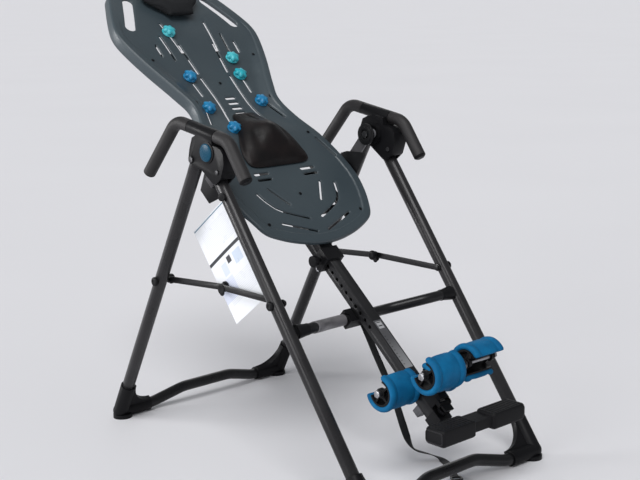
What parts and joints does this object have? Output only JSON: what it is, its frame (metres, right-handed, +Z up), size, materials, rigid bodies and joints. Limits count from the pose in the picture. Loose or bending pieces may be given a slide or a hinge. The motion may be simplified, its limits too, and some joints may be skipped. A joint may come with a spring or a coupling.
{
  "type": "inversion table",
  "caption": "Folding A-frame inversion table with a moulded tilting bed, bent handlebars, sliding main shaft, ankle cup clamp and foot platform.",
  "frame": {"origin": "on the floor, under the middle of the object's overall length and width", "axes": "+X across the table to the user's right-hand side when lying on it seen from the feet, +Y from the feet to the head end, +Z up"},
  "size_m": [0.7182, 1.4444, 1.3459],
  "materials": {
    "frame_paint": "dark charcoal powder coat with a faint metallic",
    "base_paint": "near-black powder coat",
    "bar_grey": "light grey painted steel",
    "black_plastic": "moulded black plastic, lightly textured",
    "badge_blue": "glossy blue disc, bare",
    "grip_foam": "black foam grip",
    "bare_steel": "zinc-plated steel",
    "bed_grey": "moulded slate blue-grey plastic, fine grain",
    "cup_blue": "bright blue moulded foam on a black liner",
    "pad_dark": "dark grey foam",
    "node_teal": "translucent teal rubber",
    "strap_black": "woven black webbing",
    "card_white": "white laminated card",
    "shaft_black": "black painted square tube",
    "bush_plastic": "grey plastic bush"
  },
  "bodies": {
    "front_frame": {"front_left_leg": "frame_paint", "front_right_leg": "frame_paint", "front_base_tube": "base_paint", "front_left_foot": "black_plastic", "front_right_foot": "black_plastic", "crossbar": "bar_grey", "crossbar_collars": "black_plastic", "crossbar_bumper": "grip_foam", "left_pivot_housing": "black_plastic", "right_pivot_housing": "black_plastic", "left_pivot_cap": "badge_blue", "right_pivot_cap": "badge_blue", "pivot_bushes": "bush_plastic", "left_handlebar": "base_paint", "right_handlebar": "base_paint", "left_grips": "grip_foam", "right_grips": "grip_foam", "grip_end_caps": "black_plastic", "fold_pins": "bare_steel", "housing_bolts": "bare_steel", "leg_knob": "black_plastic", "spreader_bolts": "shaft_black", "instruction_card": "card_white", "tether_strap": "strap_black"},
    "rear_frame": {"rear_left_leg": "frame_paint", "rear_right_leg": "frame_paint", "rear_base_tube": "base_paint", "rear_left_foot": "black_plastic", "rear_right_foot": "black_plastic"},
    "left_front_link": {"left_front_spreader": "shaft_black"},
    "left_rear_link": {"left_rear_spreader": "shaft_black"},
    "right_front_link": {"right_front_spreader": "shaft_black"},
    "right_rear_link": {"right_rear_spreader": "shaft_black"},
    "bed": {"bed_shell": "bed_grey", "bed_frame": "base_paint", "left_pivot_arm": "bare_steel", "right_pivot_arm": "bare_steel", "pivot_pins": "bare_steel", "pivot_brackets": "shaft_black", "shaft_sleeve": "base_paint", "selector_housing": "black_plastic", "strap_eye": "bare_steel", "bed_screws": "bare_steel", "head_pillow": "pad_dark", "lumbar_bridge": "pad_dark", "pressure_nodes": "node_teal"},
    "selector": {"selector_pin": "black_plastic"},
    "shaft": {"main_shaft": "shaft_black", "rear_ankle_axle": "bare_steel", "clamp_housing": "black_plastic", "shaft_foot": "black_plastic"},
    "ankle_clamp": {"clamp_post": "bare_steel", "front_ankle_axle": "bare_steel"},
    "clamp_release": {"clamp_lever": "black_plastic"},
    "rear_left_ankle_cup": {"rear_left_cup": "cup_blue"},
    "rear_right_ankle_cup": {"rear_right_cup": "cup_blue"},
    "front_left_ankle_cup": {"front_left_cup": "cup_blue"},
    "front_right_ankle_cup": {"front_right_cup": "cup_blue"},
    "dial": {"height_dial": "black_plastic"},
    "platform": {"foot_platform": "black_plastic"}
  },
  "joints": [
    {"name": "frame_fold", "type": "hinge", "parent": "front_frame", "child": "rear_frame", "pos_m": [0, 0.0455, 0.866], "axis": [-1, 0, 0], "range_deg": [0, 56]},
    {"name": "left_front_link_turn", "type": "hinge", "parent": "front_frame", "child": "left_front_link", "pos_m": [0, -0.2729, 0.505], "axis": [1, 0, 0], "range_deg": [0, 67.33]},
    {"name": "right_front_link_turn", "type": "hinge", "parent": "front_frame", "child": "right_front_link", "pos_m": [0, -0.2729, 0.505], "axis": [1, 0, 0], "range_deg": [0, 67.33]},
    {"name": "left_rear_link_turn", "type": "hinge", "parent": "rear_frame", "child": "left_rear_link", "pos_m": [0, 0.25024, 0.485], "axis": [-1, 0, 0], "range_deg": [0, 27.03]},
    {"name": "right_rear_link_turn", "type": "hinge", "parent": "rear_frame", "child": "right_rear_link", "pos_m": [0, 0.25024, 0.485], "axis": [-1, 0, 0], "range_deg": [0, 27.03]},
    {"name": "bed_tilt", "type": "hinge", "parent": "front_frame", "child": "bed", "pos_m": [0, -0.0115, 0.885], "axis": [-1, 0, 0], "range_deg": [0, 131]},
    {"name": "selector_pin_slide", "type": "slide", "parent": "bed", "child": "selector", "axis": [1, 0, 0], "range_m": [0, 0.012]},
    {"name": "shaft_slide", "type": "slide", "parent": "bed", "child": "shaft", "axis": [0, 0.7547, 0.6561], "range_m": [-0.1, 0.125]},
    {"name": "ankle_clamp_slide", "type": "slide", "parent": "shaft", "child": "ankle_clamp", "axis": [0, 0.6561, -0.7547], "range_m": [-0.03, 0.05]},
    {"name": "clamp_lever_lift", "type": "hinge", "parent": "shaft", "child": "clamp_release", "pos_m": [0, -0.57552, 0.22908], "axis": [-1, 0, 0], "range_deg": [0, 25], "stiffness_Nm_per_rad": 0.05, "springref_deg": -5.73},
    {"name": "rear_left_cup_swivel", "type": "hinge", "parent": "shaft", "child": "rear_left_ankle_cup", "pos_m": [0, -0.46489, 0.26032], "axis": [1, 0, 0], "range_deg": [-30, 30]},
    {"name": "rear_right_cup_swivel", "type": "hinge", "parent": "shaft", "child": "rear_right_ankle_cup", "pos_m": [0, -0.46489, 0.26032], "axis": [1, 0, 0], "range_deg": [-30, 30]},
    {"name": "front_left_cup_swivel", "type": "hinge", "parent": "ankle_clamp", "child": "front_left_ankle_cup", "pos_m": [0, -0.62623, 0.34532], "axis": [1, 0, 0], "range_deg": [-30, 30]},
    {"name": "front_right_cup_swivel", "type": "hinge", "parent": "ankle_clamp", "child": "front_right_ankle_cup", "pos_m": [0, -0.62623, 0.34532], "axis": [1, 0, 0], "range_deg": [-150, 30]},
    {"name": "height_dial_turn", "type": "hinge", "parent": "shaft", "child": "dial", "pos_m": [0, -0.55243, 0.18422], "axis": [0, -0.6561, 0.7547], "range_deg": [0, 182]},
    {"name": "platform_slide", "type": "slide", "parent": "shaft", "child": "platform", "axis": [0, -0.7547, -0.6561], "range_m": [0, 0.02]}
  ],
  "couplings": [
    {"joint": "left_front_link_turn", "follows": "frame_fold", "ratio": 1.1935},
    {"joint": "right_front_link_turn", "follows": "frame_fold", "ratio": 1.1935},
    {"joint": "left_rear_link_turn", "follows": "frame_fold", "ratio": 0.47375},
    {"joint": "right_rear_link_turn", "follows": "frame_fold", "ratio": 0.47375},
    {"joint": "height_dial_turn", "follows": "platform_slide", "rad_per_m": 157.08}
  ]
}
